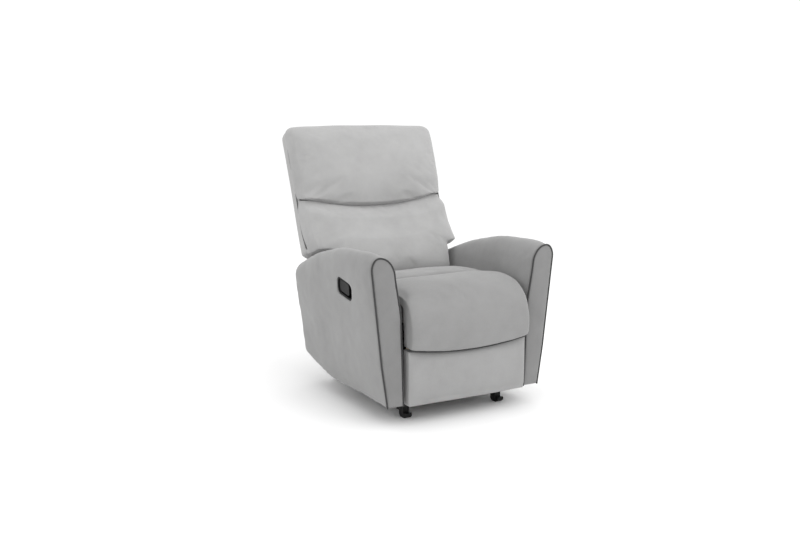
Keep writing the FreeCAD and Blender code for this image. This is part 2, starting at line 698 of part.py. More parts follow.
# ---------------------------------------------------------------- footrest
def footrest():
    board_rear = BOARD_Y + BOARD_T
    save("footrest_board", block(-BOARD_HALF, BOARD_HALF, BOARD_Y, board_rear, BOARD_Z0, BOARD_Z1))
    plate = block(
        DRIVE_X, DRIVE_X + PLATE, board_rear, FOOT_PIVOT[0],
        FOOT_LOW_PIVOT[1] - EYE_R, FOOT_PIVOT[1] + EYE_R,
    )
    flange = block(
        DRIVE_X - 26, DRIVE_X, board_rear, board_rear + PLATE,
        FOOT_LOW_PIVOT[1] - EYE_R, FOOT_PIVOT[1] + EYE_R,
    )
    spine = bar(FOOT_LOW_PIVOT, FOOT_PIVOT, EYE_R, DRIVE_X, DRIVE_X + PLATE)
    pins = [
        rivet(FOOT_PIVOT, DRIVE_X, CARRIER_X),
        rivet(FOOT_LOW_PIVOT, DRIVE_X, CARRIER_X),
    ]
    save_pair("footrest_bracket", spine.fuse([plate, flange] + pins).removeSplitter())

    lower = block(
        -PAD_HALF, PAD_HALF, BOARD_Y - LOWER_PAD_T, BOARD_Y, PAD_Z0, PAD_SEAM_Z
    )
    lower = rounded(lower, 12, lambda e: e.Vertexes[0].Point.y < BOARD_Y - 1 and
                    e.Vertexes[-1].Point.y < BOARD_Y - 1)
    save("footrest_lower_pad", lower)
    front = BOARD_Y - UPPER_PAD_T
    upper = slab_x(
        [
            (BOARD_Y, PAD_SEAM_Z),
            (front + 26, PAD_SEAM_Z),
            (front, PAD_SEAM_Z + 50),
            (front, PAD_Z1 - 58),
            (front + 30, PAD_Z1 - 6),
            (front + 58, PAD_Z1),
            (BOARD_Y + PAD_OVER, PAD_Z1),
            (BOARD_Y + PAD_OVER, BOARD_Z1),
            (BOARD_Y, BOARD_Z1),
        ],
        -PAD_HALF,
        PAD_HALF,
    )
    save("footrest_upper_pad", upper)


# ---------------------------------------------------------------- back
def leaned(shape):
    """The back's pieces are drawn upright about the crease and then leaned rearward."""
    copy = shape.copy()
    copy.Placement = FreeCAD.Placement(
        V(0, BACK_Y, BACK_Z), FreeCAD.Rotation(V(1, 0, 0), -LEAN)
    )
    return copy


def back_local(y, z):
    """A place in the leaned back, from the chair's own y and z."""
    angle = math.radians(LEAN)
    dy = y - BACK_Y
    dz = z - BACK_Z
    return (
        dy * math.cos(angle) - dz * math.sin(angle),
        dy * math.sin(angle) + dz * math.cos(angle),
    )


def back_outline(inset, low, y0, y1):
    """The back's T-shaped plate: narrow between the arms and wide above them."""
    half = BACK_HALF - inset
    ear = EAR_HALF - inset
    top = BACK_TOP - inset
    ear_low = EAR_LOW + inset
    points = [
        (-half, low), (half, low), (half, ear_low), (ear, ear_low),
        (ear, top), (-ear, top), (-ear, ear_low), (-half, ear_low),
    ]
    plate = slab_y(points, y0, y1)
    radius = CORNER_R - inset
    return rounded(
        plate, radius, lambda e: along("y")(e) and e.Vertexes[0].Point.z > top - 1
    )


def back():
    shell = back_outline(0, BACK_LOW, SHELL_FRONT, SHELL_DEPTH)
    room = back_outline(
        SHELL_SIDE, BACK_LOW + SHELL_SIDE, SHELL_FRONT - 1, SHELL_DEPTH - SHELL_WALL
    )
    slots = [
        block(x0, x1, SHELL_FRONT - 1, POST_FRONT + POST_D, BACK_LOW - 1, BACK_LOW + SHELL_SIDE + 1)
        for x0, x1 in (
            (DRIVE_X - 1, POST_X + POST_W + 1),
            (-POST_X - POST_W - 1, -DRIVE_X + 1),
        )
    ]
    save("back_shell", leaned(shell.cut(room).cut(slots[0]).cut(slots[1])))

    post_low = BACK_LOW
    post_high = BACK_TOP - SHELL_SIDE
    post_rear = POST_FRONT + POST_D
    post = block(POST_X, POST_X + POST_W, POST_FRONT, post_rear, post_low, post_high)
    save_pair("back_post", leaned(post))
    rail_rear = post_rear + RAIL_D
    for name, half, z0, z1 in (
        ("top", EAR_HALF - SHELL_SIDE - 4, post_high - 64, post_high - 24),
        ("ear", EAR_HALF - SHELL_SIDE - 4, EAR_LOW + 24, EAR_LOW + 84),
        ("lower", POST_X + POST_W, 0, 45),
    ):
        rail = block(-half, half, post_rear, rail_rear, z0, z1)
        save("back_" + name + "_rail", leaned(rail))
    for number, z in enumerate((80.0, 360.0), 1):
        strap = block(-POST_X, POST_X, POST_FRONT + 2, POST_FRONT + 4, z, z + WEB_W)
        save("back_webbing_" + str(number), leaned(strap))

    hinge = back_local(HINGE_Y, HINGE_Z)
    bracket = slab_x(
        [
            (hinge[0] - 13, hinge[1] - 13),
            (hinge[0] + 13, hinge[1] - 13),
            (hinge[0] + 13, hinge[1] + 20),
            (post_rear, post_low),
            (post_rear, 30),
            (POST_FRONT, 30),
            (POST_FRONT, post_low),
            (hinge[0] - 13, hinge[1] + 20),
        ],
        DRIVE_X,
        DRIVE_X + PLATE,
    )
    bracket = bored(bracket, [hinge], DRIVE_X)
    save_pair("back_bracket", leaned(bracket))

    lumbar = back_pad(0.0, SEAM_Z, LUMBAR_CROWN)
    notch_low = -1.0
    for side in (-1, 1):
        near = side * BACK_HALF
        far = side * (EAR_HALF + 1)
        notch = block(
            min(near, far), max(near, far), -LUMBAR_CROWN - 1, SHELL_FRONT + 1,
            notch_low, EAR_LOW,
        )
        lumbar = lumbar.cut(notch)
    save("lumbar_pad", leaned(lumbar))
    head = back_pad(SEAM_Z, BACK_TOP, HEAD_CROWN)
    head = rounded(
        head, CORNER_R, lambda e: along("y")(e) and e.Vertexes[0].Point.z > BACK_TOP - 1
    )
    save("head_pad", leaned(head))


def back_pad(low, high, crown):
    """A pad across the back whose front is crowned between its lower and upper seams."""
    edges = [
        Part.makeLine(V(0, SHELL_FRONT, low), V(0, SHELL_FRONT, high)),
        Part.makeLine(V(0, SHELL_FRONT, high), V(0, -6, high)),
        Part.Arc(V(0, -6, high), V(0, -crown, (low + high) / 2), V(0, -6, low)).toShape(),
        Part.makeLine(V(0, -6, low), V(0, SHELL_FRONT, low)),
    ]
    pad = Part.Face(Part.Wire(edges)).extrude(V(2 * EAR_HALF, 0, 0))
    pad.translate(V(-EAR_HALF, 0, 0))
    return pad


base()
arms()
handle()
cable_parts()
seat()
swing_links()
footrest_links()
footrest()
back()
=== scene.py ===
"""Manual recliner armchair in brushed grey microfibre: upholstery, piping, mechanism finishes.

Everything is in metres. The sitter faces -Y, +X is the sitter's left, the floor is z = 0.
"""
import math

import bpy
from mathutils import Euler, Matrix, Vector, noise


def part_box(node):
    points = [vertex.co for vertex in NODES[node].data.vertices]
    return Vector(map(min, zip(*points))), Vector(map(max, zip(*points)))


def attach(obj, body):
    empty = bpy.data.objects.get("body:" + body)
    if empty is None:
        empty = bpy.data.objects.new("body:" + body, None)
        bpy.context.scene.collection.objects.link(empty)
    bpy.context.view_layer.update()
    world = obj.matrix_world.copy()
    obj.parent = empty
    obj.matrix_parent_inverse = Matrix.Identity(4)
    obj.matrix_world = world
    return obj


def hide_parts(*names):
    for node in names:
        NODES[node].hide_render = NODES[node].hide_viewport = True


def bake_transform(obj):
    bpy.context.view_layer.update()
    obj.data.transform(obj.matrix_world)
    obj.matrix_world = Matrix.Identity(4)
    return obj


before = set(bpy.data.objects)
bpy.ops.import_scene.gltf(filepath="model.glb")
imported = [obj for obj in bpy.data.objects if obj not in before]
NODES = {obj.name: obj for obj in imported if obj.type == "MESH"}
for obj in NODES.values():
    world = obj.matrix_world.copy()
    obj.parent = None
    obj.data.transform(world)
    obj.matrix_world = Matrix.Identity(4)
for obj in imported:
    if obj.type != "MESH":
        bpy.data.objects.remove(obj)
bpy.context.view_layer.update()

# ---------------------------------------------------------------- sizes
LEAN = math.radians(21.6)       # the back's lean at rest
CREASE_Y = 0.180                # where the back meets the seat
CREASE_Z = 0.430
BACK_TOP = 0.645                # the back's height above the crease, along the lean
EAR_HALF = 0.333                # half width above the arms
EAR_LOW = 0.097                 # underside of the ears
CORNER = 0.044                  # rounded top corners
PIPING = 0.0032                 # radius of the piping

ARM_TOP = 0.612                 # highest point of an arm
ARM_PEAK_Y = -0.330             # where it is
ARM_FOOT = 0.0738               # lower edge of an arm at its front
ARM_BEND_Z = 0.217              # the outer face leans in below this height and out above it
ARM_BEND_X = 0.341
ARM_INNER = 0.258               # an arm's inner face at its foot
INNER_SHOULDER = 0.074          # height of the rounding over the inner face
OUTER_SHOULDER = 0.042

CUP_HOLE = (0.062, 0.1168, 0.0668)  # opening for the handle's cup: depth, length, height
CUP_HOLE_X = -0.3655
CUP_CORNER = 0.023
CUP_TILT = math.radians(10.0)
CUP_SPLAY = math.atan(0.11)     # the outer face's slope, which the cup follows

CLOTH_HALF = 0.211              # the dust cloth: half width, top and lower edge
CLOTH_TOP = 0.346
CLOTH_LOW = 0.086
CLOTH_Y = -0.3245

CAMERA_PLACE = (-1.799, -3.156, 1.080)
CAMERA_AIM = (-0.014, 0.035, 0.4815)
CAMERA_LENS = 42.15


# ---------------------------------------------------------------- shader maths
class Wire:
    """A socket in a node tree, with arithmetic that adds Math nodes."""

    def __init__(self, tree, socket):
        self.tree = tree
        self.socket = socket

    def math(self, operation, other=None, flipped=False):
        node = self.tree.nodes.new("ShaderNodeMath")
        node.operation = operation
        first, second = (other, self) if flipped else (self, other)
        for socket, value in zip(node.inputs, (first, second)):
            if isinstance(value, Wire):
                self.tree.links.new(value.socket, socket)
            elif value is not None:
                socket.default_value = value
        return Wire(self.tree, node.outputs[0])

    def __add__(self, other):
        return self.math("ADD", other)

    __radd__ = __add__

    def __sub__(self, other):
        return self.math("SUBTRACT", other)

    def __rsub__(self, other):
        return self.math("SUBTRACT", other, True)

    def __mul__(self, other):
        return self.math("MULTIPLY", other)

    __rmul__ = __mul__

    def __truediv__(self, other):
        return self.math("DIVIDE", other)

    def __pow__(self, other):
        return self.math("POWER", other)


class Finish:
    """A material under construction, with one method that adds any node."""

    def __init__(self, name, roughness, metallic=0.0, **plain):
        self.material = bpy.data.materials.new(name)
        self.material.use_nodes = True
        self.tree = self.material.node_tree
        self.shader = self.tree.nodes["Principled BSDF"]
        self.shader.inputs["Roughness"].default_value = roughness
        self.shader.inputs["Metallic"].default_value = metallic
        for words, value in plain.items():
            self.shader.inputs[words.replace("_", " ")].default_value = value
        self.place = self.add("ShaderNodeTexCoord", out="Object")

    def add(self, kind, settings=None, out=0, **values):
        node = self.tree.nodes.new(kind)
        for name, value in (settings or {}).items():
            setattr(node, name, value)
        for name, value in values.items():
            socket = node.inputs[name.replace("_", " ")]
            if isinstance(value, Wire):
                self.tree.links.new(value.socket, socket)
            else:
                socket.default_value = value
        return Wire(self.tree, node.outputs[out])

    def stretched(self, x, y, z):
        return self.add("ShaderNodeMapping", Vector=self.place, Scale=(x, y, z))

    def noise(self, scale, detail=2.0, place=None, roughness=0.5):
        return self.add(
            "ShaderNodeTexNoise", Vector=place or self.place, Scale=scale,
            Detail=detail, Roughness=roughness,
        )

    def ramp(self, factor, stops):
        node = self.tree.nodes.new("ShaderNodeValToRGB")
        elements = node.color_ramp.elements
        while len(elements) < len(stops):
            elements.new(0.5)
        for element, (position, colour) in zip(elements, stops):
            element.position = position
            element.color = (*colour, 1.0)
        self.tree.links.new(factor.socket, node.inputs["Fac"])
        return Wire(self.tree, node.outputs[0])

    def feed(self, name, wire):
        self.tree.links.new(wire.socket, self.shader.inputs[name])

    def bump(self, height, distance, strength=1.0):
        self.feed("Normal", self.add(
            "ShaderNodeBump", Height=height, Distance=distance, Strength=strength))


def shade(grey, warmth=1.0):
    return (grey * warmth, grey, grey * (2.0 - warmth))


def microfibre(name, grey):
    """Brushed microfibre: soft mottled nap, short fibres, and a dull sheen."""
    cloth = Finish(name, 0.92, Sheen_Weight=0.35, Sheen_Roughness=0.45)
    cloth.shader.inputs["Specular IOR Level"].default_value = 0.18
    swept = cloth.noise(5.0, 3.0, cloth.stretched(1.0, 1.3, 0.8), 0.55)
    patch = cloth.noise(19.0, 4.0, cloth.place, 0.6)
    hair = cloth.noise(420.0, 3.0, cloth.stretched(1.0, 1.0, 0.35), 0.7)
    tone = swept * 0.5 + patch * 0.3 + hair * 0.2
    cloth.feed("Base Color", cloth.ramp(tone, [
        (0.30, shade(grey * 0.87, 1.004)),
        (0.50, shade(grey, 1.004)),
        (0.70, shade(grey * 1.11, 1.002)),
    ]))
    cloth.feed("Roughness", 0.82 + patch * 0.2)
    cloth.bump(hair * 0.8 + patch * 0.6, 0.0011, 0.55)
    return cloth.material


def piping_cloth(name, grey):
    """Cord covered with the same cloth in a darker grey, with a fine twill rib; the near-black grey of the
    dark cord is partly painted shade along the piping and seams.
    """
    cloth = Finish(name, 0.85, Sheen_Weight=0.2, Sheen_Roughness=0.5)
    rib = cloth.noise(300.0, 2.0, cloth.stretched(1.0, 1.0, 1.0))
    cloth.feed("Base Color", cloth.ramp(rib, [(0.3, shade(grey * 0.75)), (0.7, shade(grey * 1.3))]))
    cloth.bump(rib, 0.0006, 0.5)
    return cloth.material


def moulded_plastic(name, grey, roughness):
    """Moulded plastic with a fine spark-eroded grain."""
    plastic = Finish(name, roughness)
    plastic.shader.inputs["Specular IOR Level"].default_value = 0.2
    grain = plastic.noise(900.0, 2.0)
    cloud = plastic.noise(14.0, 3.0)
    plastic.feed("Base Color", plastic.ramp(cloud, [(0.35, shade(grey * 0.85)), (0.65, shade(grey * 1.2))]))
    plastic.feed("Roughness", roughness - 0.06 + cloud * 0.12)
    plastic.bump(grain, 0.0002, 0.5)
    return plastic.material


def black_steel(name):
    """Pressed steel in satin black paint, rubbed along its length."""
    steel = Finish(name, 0.42, metallic=0.25)
    cloud = steel.noise(22.0, 4.0)
    rub = steel.noise(90.0, 3.0, steel.stretched(3.0, 0.4, 1.0))
    worn = steel.ramp(cloud * 0.6 + rub * 0.4, [
        (0.35, (0.018, 0.018, 0.02)), (0.62, (0.035, 0.035, 0.038)), (0.75, (0.09, 0.088, 0.085)),
    ])
    steel.feed("Base Color", worn)
    steel.feed("Roughness", 0.32 + rub * 0.25)
    steel.bump(steel.noise(650.0, 2.0), 0.0002, 0.4)
    return steel.material


def bright_steel(name):
    steel = Finish(name, 0.3, metallic=1.0)
    rub = steel.noise(200.0, 3.0, steel.stretched(1.0, 1.0, 0.2))
    steel.feed("Base Color", steel.ramp(rub, [(0.3, (0.5, 0.5, 0.5)), (0.7, (0.68, 0.67, 0.66))]))
    steel.feed("Roughness", 0.22 + rub * 0.2)
    return steel.material


def sawn_timber(name):
    """Pale sawn timber with long growth rings and saw marks."""
    wood = Finish(name, 0.75)
    rings = wood.add(
        "ShaderNodeTexWave", {"bands_direction": "X"}, Vector=wood.stretched(1.0, 0.12, 0.12),
        Scale=38.0, Distortion=6.0, Detail=3.0, out=1,
    )
    pores = wood.noise(260.0, 3.0, wood.stretched(1.0, 0.08, 0.08))
    wood.feed("Base Color", wood.ramp(rings * 0.7 + pores * 0.3, [
        (0.2, (0.50, 0.34, 0.19)), (0.6, (0.62, 0.46, 0.28)), (0.9, (0.70, 0.55, 0.36)),
    ]))
    wood.bump(pores, 0.0008, 0.6)
    return wood.material


def webbing_weave(name):
    """Flat elastic webbing: a plain weave with a stripe."""
    strap = Finish(name, 0.8)
    across = strap.add("ShaderNodeTexWave", {"bands_direction": "X"}, Vector=strap.place, Scale=220.0, out=1)
    along = strap.add("ShaderNodeTexWave", {"bands_direction": "Y"}, Vector=strap.place, Scale=220.0, out=1)
    weave = across * along
    strap.feed("Base Color", strap.ramp(weave, [(0.1, (0.03, 0.03, 0.035)), (0.8, (0.10, 0.10, 0.11))]))
    strap.bump(weave, 0.0008, 0.6)
    return strap.material


# ---------------------------------------------------------------- making pieces
def only(piece):
    bpy.ops.object.select_all(action="DESELECT")
    piece.select_set(True)
    bpy.context.view_layer.objects.active = piece


def padded_form(name, cuts, place):
    """A closed form: a cube cut into a fine cage, whose points are set by place(u, v, w) from -1 to 1."""
    bpy.ops.object.select_all(action="DESELECT")
    bpy.ops.mesh.primitive_cube_add(size=2)
    piece = bpy.context.object
    piece.name = name
    bpy.ops.object.mode_set(mode="EDIT")
    bpy.ops.mesh.select_all(action="SELECT")
    bpy.ops.mesh.subdivide(number_cuts=cuts)
    bpy.ops.object.mode_set(mode="OBJECT")
    for vertex in piece.data.vertices:
        vertex.co = place(*vertex.co)
    only(piece)
    bpy.ops.object.mode_set(mode="EDIT")
    bpy.ops.mesh.select_all(action="SELECT")
    bpy.ops.mesh.normals_make_consistent(inside=False)
    bpy.ops.object.mode_set(mode="OBJECT")
    return piece


def remeshed(piece, voxel, smooth):
    """Gives the form an even mesh that a cloth simulation can use."""
    only(piece)
    piece.data.remesh_voxel_size = voxel
    bpy.ops.object.voxel_remesh()
    soften(piece, smooth)
    return piece


def soften(piece, times, factor=0.5):
    only(piece)
    easing = piece.modifiers.new("ease", "SMOOTH")
    easing.iterations = times
    easing.factor = factor
    bpy.ops.object.modifier_apply(modifier=easing.name)


def stuffed(piece, held, pressure, cap, frames=16):
    """Inflates the cover with a short cloth simulation. held(point) says what is stapled or sewn down."""
    only(piece)
    start = [vertex.co.copy() for vertex in piece.data.vertices]
    sewn = piece.vertex_groups.new(name="sewn")
    for index, point in enumerate(start):
        weight = held(point)
        if weight > 0:
            sewn.add([index], weight, "REPLACE")
    cloth = piece.modifiers.new("stuffing", "CLOTH")
    cloth.settings.quality = 4
    cloth.settings.mass = 0.4
    cloth.settings.tension_stiffness = 30
    cloth.settings.compression_stiffness = 45
    cloth.settings.shear_stiffness = 12
    cloth.settings.bending_stiffness = 4
    cloth.settings.use_pressure = True
    cloth.settings.uniform_pressure_force = pressure
    cloth.settings.vertex_group_mass = "sewn"
    cloth.settings.effector_weights.gravity = 0
    scene = bpy.context.scene
    for number in range(1, frames + 1):
        scene.frame_set(number)
    bpy.ops.object.modifier_apply(modifier=cloth.name)
    for vertex, origin in zip(piece.data.vertices, start):
        move = vertex.co - origin
        if move.length > cap:
            vertex.co = origin + move * (cap / move.length)
    scene.frame_set(1)
    piece.vertex_groups.clear()
    soften(piece, 2)


def ruffled(piece, amount, scale, seed=0.0):
    """Small slack in the cover: the surface moves along its normals by smooth noise."""
    normals = [vertex.normal.copy() for vertex in piece.data.vertices]
    for vertex, normal in zip(piece.data.vertices, normals):
        place = Vector(vertex.co) * scale + Vector((seed, 0.0, 0.0))
        vertex.co += normal * (noise.noise(place) * amount)


def dressed(piece, material, body, replaces, levels=1):
    """Gives a finished piece its cloth, smooth shading and body, and hides the CAD pieces that it stands
    for.
    """
    piece.data.materials.clear()
    piece.data.materials.append(material)
    if levels:
        rounder = piece.modifiers.new("round", "SUBSURF")
        rounder.levels = levels
        rounder.render_levels = levels
        only(piece)
        bpy.ops.object.modifier_apply(modifier=rounder.name)
    only(piece)
    bpy.ops.object.shade_smooth()
    if body:
        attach(piece, body)
    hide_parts(*replaces)


def twin(piece, name):
    """The mirror image of a piece, with its own mesh."""
    copy = piece.copy()
    copy.data = piece.data.copy()
    copy.name = name
    bpy.context.scene.collection.objects.link(copy)
    for vertex in copy.data.vertices:
        vertex.co.x = -vertex.co.x
    copy.data.flip_normals()
    return copy


def piping(name, points, material, body, radius=PIPING):
    """Piping or a sewn cord along a line of points; a dark cord laid in a seam is painted shade."""
    curve = bpy.data.curves.new(name, "CURVE")
    curve.dimensions = "3D"
    curve.bevel_depth = radius
    curve.bevel_resolution = 3
    line = curve.splines.new("NURBS")
    line.points.add(len(points) - 1)
    for control, point in zip(line.points, points):
        control.co = (*point, 1.0)
    line.order_u = 3
    line.use_endpoint_u = True
    line.resolution_u = 4
    curve.use_fill_caps = True
    piece = bpy.data.objects.new(name, curve)
    bpy.context.scene.collection.objects.link(piece)
    only(piece)
    bpy.ops.object.convert(target="MESH")
    piece = bpy.context.object
    piece.data.materials.clear()
    piece.data.materials.append(material)
    bpy.ops.object.shade_smooth()
    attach(piece, body)


def mix(low, high, share):
    return low + (high - low) * share


def ease(low, high, value):
    """0 below low, 1 above high, and a smooth rise between."""
    share = min(1.0, max(0.0, (value - low) / (high - low)))
    return share * share * (3.0 - 2.0 * share)


def crown(t, power, root):
    """1 in the middle and 0 at both edges, flat-topped."""
    return max(0.0, 1.0 - abs(t) ** power) ** (1.0 / root)


# ---------------------------------------------------------------- arms
ARM_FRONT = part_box("arm_front_panel_left")[0][1]
ARM_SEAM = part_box("arm_cover_left")[0][1]
ARM_REAR = 0.268


def arm_top(y):
    if y < ARM_PEAK_Y:
        return ARM_TOP - 0.012 * ((ARM_PEAK_Y - y) / 0.099) ** 2
    return ARM_TOP - 0.134 * ((y - ARM_PEAK_Y) / 0.598) ** 2.2


def arm_bottom(y):
    return ARM_FOOT + 0.060 * (max(0.0, y - 0.010) / 0.258) ** 1.25


def arm_outer(z):
    if z < ARM_BEND_Z:
        return ARM_BEND_X - 0.152 * (ARM_BEND_Z - z)
    return ARM_BEND_X + 0.110 * (z - ARM_BEND_Z)


def arm_inner(z):
    return ARM_INNER + 0.033 * (z - 0.073) + 0.137 * max(0.0, z - 0.400)


def arm_section(y, u, w, inset=0.0):
    """A place on the arm's section at y: u runs from the inner to the outer face, w from foot to ridge."""
    low = arm_bottom(y) + inset
    high = arm_top(y) - inset
    share = 0.5 + 0.5 * u
    if w < 0.999:
        z = mix(low, high - mix(INNER_SHOULDER, OUTER_SHOULDER, share), 0.5 + 0.5 * w)
        return mix(arm_inner(z) + inset, arm_outer(z) - inset, share), z
    inner = arm_inner(high - INNER_SHOULDER) + inset
    outer = arm_outer(high - OUTER_SHOULDER) - inset
    ridge = outer - 0.030
    angle = abs(u) * math.pi / 2
    side, drop = (inner, INNER_SHOULDER) if u < 0 else (outer, OUTER_SHOULDER)
    return mix(ridge, side, math.sin(angle)), high - drop * (1.0 - math.cos(angle))


def arm_place(u, v, w):
    y = mix(ARM_SEAM, ARM_REAR, 0.5 + 0.5 * v)
    inset = 0.014 * ease(0.93, 1.0, v) ** 2
    x, z = arm_section(y, u, w, inset)
    lean = 0.038 * max(0.0, z - 0.13) * ease(0.12, ARM_REAR, y)
    return Vector((x, y + lean, z))


def front_panel_place(u, v, w):
    bulge = 0.006 * crown(u, 2.5, 1.6) * crown(w, 10.0, 2.0)
    y = ARM_SEAM if v > 0 else ARM_FRONT + 0.004 - bulge
    x, z = arm_section(ARM_FRONT, u * 0.985, w, 0.0012)
    return Vector((x, y, z))


def edge_line(y, count=26):
    """The arm's outline at y: up the outer face, over the ridge, and down the inner face."""
    rows = [(1.0, -1.0 + 2.0 * k / count) for k in range(count)]
    over = [(1.0 - 2.0 * k / 16.0, 1.0) for k in range(17)]
    down = [(-1.0, 1.0 - 2.0 * k / count) for k in range(1, count + 1)]
    line = []
    for u, w in rows + over + down:
        x, z = arm_section(ARM_FRONT, u, w, -0.0005)
        line.append(Vector((x, y, z)))
    return line


def handle_hole(cover):
    """Cuts the opening that the handle's cup is set into."""
    low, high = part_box("handle_cup_right")
    only(cover)
    bpy.ops.object.select_all(action="DESELECT")
    bpy.ops.mesh.primitive_cube_add(size=1)
    tool = bpy.context.object
    turn = Euler((CUP_TILT, -CUP_SPLAY, 0.0), "XYZ").to_matrix()
    middle = Vector((CUP_HOLE_X, (low[1] + high[1]) / 2, (low[2] + high[2]) / 2))
    rim = tool.modifiers.new("corners", "BEVEL")
    rim.width = CUP_CORNER
    rim.segments = 8
    rim.limit_method = "WEIGHT"
    bevels = tool.data.attributes.new("bevel_weight_edge", "FLOAT", "EDGE")
    for vertex in tool.data.vertices:
        vertex.co *= Vector(CUP_HOLE)
    for edge in tool.data.edges:
        a, b = (tool.data.vertices[index].co for index in edge.vertices)
        bevels.data[edge.index].value = 1.0 if abs(a.x - b.x) > 0.01 else 0.0
    only(tool)
    bpy.ops.object.modifier_apply(modifier=rim.name)
    for vertex in tool.data.vertices:
        vertex.co = middle + turn @ vertex.co
    only(cover)
    hole = cover.modifiers.new("hole", "BOOLEAN")
    hole.operation = "DIFFERENCE"
    hole.solver = "EXACT"
    hole.object = tool
    bpy.ops.object.modifier_apply(modifier=hole.name)
    bpy.data.objects.remove(tool, do_unlink=True)


def arms(cloth, panel_cloth, cord):
    cover = remeshed(padded_form("arm_upholstery_left", 46, arm_place), 0.0075, 3)

    def stapled(point):
        front = 1.0 - ease(ARM_SEAM, ARM_SEAM + 0.03, point.y)
        foot = 1.0 - ease(0.09, 0.125, point.z)
        return max(front, foot, ease(0.24, 0.26, point.y))

    stuffed(cover, stapled, 1.2, 0.006, 10)
    ruffled(cover, 0.0030, 7.0)
    ruffled(cover, 0.0010, 26.0)
    right = twin(cover, "arm_upholstery_right")
    ruffled(right, 0.0020, 6.0, 4.0)
    handle_hole(right)
    dressed(cover, cloth, "base", ["arm_cover_left"], levels=0)
    dressed(right, cloth, "base", ["arm_cover_right"], levels=0)

    panel = remeshed(padded_form("arm_facing_left", 30, front_panel_place), 0.005, 2)
    other = twin(panel, "arm_facing_right")
    dressed(panel, panel_cloth, "base", ["arm_front_panel_left"], levels=0)
    dressed(other, panel_cloth, "base", ["arm_front_panel_right"], levels=0)
    welt_y = ARM_FRONT + 0.0045
    for side, label in ((1, "left"), (-1, "right")):
        line = [Vector((side * p.x, p.y, p.z)) for p in edge_line(welt_y)]
        piping("arm_piping_" + label, line, cord, "base")


# ---------------------------------------------------------------- back
def leaned(x, y, z):
    """A place in the upright back, leaned about the crease."""
    return Vector((
        x,
        CREASE_Y + y * math.cos(LEAN) + z * math.sin(LEAN),
        CREASE_Z - y * math.sin(LEAN) + z * math.cos(LEAN),
    ))


def upright(point):
    """The inverse of leaned()."""
    dy = point.y - CREASE_Y
    dz = point.z - CREASE_Z
    return (
        point.x,
        dy * math.cos(LEAN) - dz * math.sin(LEAN),
        dy * math.sin(LEAN) + dz * math.cos(LEAN),
    )


def bend(z):
    """The back's lower end curves forward, toward the seat."""
    return -0.040 * (1.0 - ease(0.02, 0.23, z))


def back_half(z):
    """Half width of the back: narrow between the arms, ears above them, round top corners."""
    wide = EAR_HALF - 0.003 * math.sin(math.pi * ease(EAR_LOW, BACK_TOP, z))
    narrow = 0.262 + 0.014 * ease(0.0, EAR_LOW, z)
    half = mix(narrow, wide, ease(EAR_LOW - 0.006, EAR_LOW + 0.008, z))
    over = z - (BACK_TOP - CORNER)
    if over > 0:
        half -= CORNER - math.sqrt(max(0.0, CORNER ** 2 - over ** 2))
    return half


def back_ridge(x):
    """The back's top edge, slightly wavy."""
    return BACK_TOP - 0.003 + 0.003 * math.sin(5.0 * x + 0.9)


def smile(x):
    """The seam under the head pad, lower in the middle."""
    return 0.288 + 0.046 * (x / EAR_HALF) ** 2


def head_place(u, v, w):
    share = 0.5 + 0.5 * w
    flat_x = u * EAR_HALF
    z = mix(smile(flat_x), back_ridge(flat_x), share)
    x = u * back_half(z)
    if v > 0:
        return leaned(x, 0.024, z)
    fall = crown(u, 15.0, 2.5) * (0.80 + 0.20 * crown(u, 2.5, 1.5))
    rise = 0.78 + 0.22 * ease(0.0, 0.26, share)
    roll = max(0.0, 1.0 - share ** 10) ** 0.5
    swell = 1.0 + 0.016 * crown(w, 4.0, 2.0)
    return leaned(x * swell, 0.012 - 0.076 * fall * rise * roll, z)


def lumbar_place(u, v, w):
    share = 0.5 + 0.5 * w
    flat_x = u * EAR_HALF
    z = mix(-0.040, smile(flat_x) + 0.008, share)
    x = u * back_half(z)
    if v > 0:
        return leaned(x, 0.024 + bend(z), z)
    fall = (0.70 + 0.30 * crown(x / EAR_HALF, 3.0, 1.5)) * crown(u, 24.0, 2.5)
    top_tuck = 1.0 - 0.58 * ease(0.80, 1.0, share) - 0.20 * ease(0.40, 0.85, share)
    low_tuck = 0.50 + 0.50 * crown(1.0 - min(1.0, share / 0.14), 2.0, 2.0)
    swell = 1.0 + 0.014 * ease(0.40, 0.60, share) * (1.0 - ease(0.85, 1.0, share))
    return leaned(x * swell, 0.012 + bend(z) - 0.103 * fall * top_tuck * low_tuck, z)


def shell_place(u, v, w):
    z = mix(-0.056, BACK_TOP - 0.004, 0.5 + 0.5 * w)
    depth = mix(0.013 + bend(z), 0.074, 0.5 + 0.5 * v)
    inset = 0.012 * ease(0.3, 1.0, v) ** 2
    round_top = 0.012 * ease(0.90, 1.0, w) * ease(0.0, 1.0, v)
    bow = 0.004 * crown(u, 2.0, 1.0) * crown(w, 2.0, 1.0) if v > 0.99 else 0.0
    return leaned(u * (back_half(z) - inset), depth + bow, z - round_top)


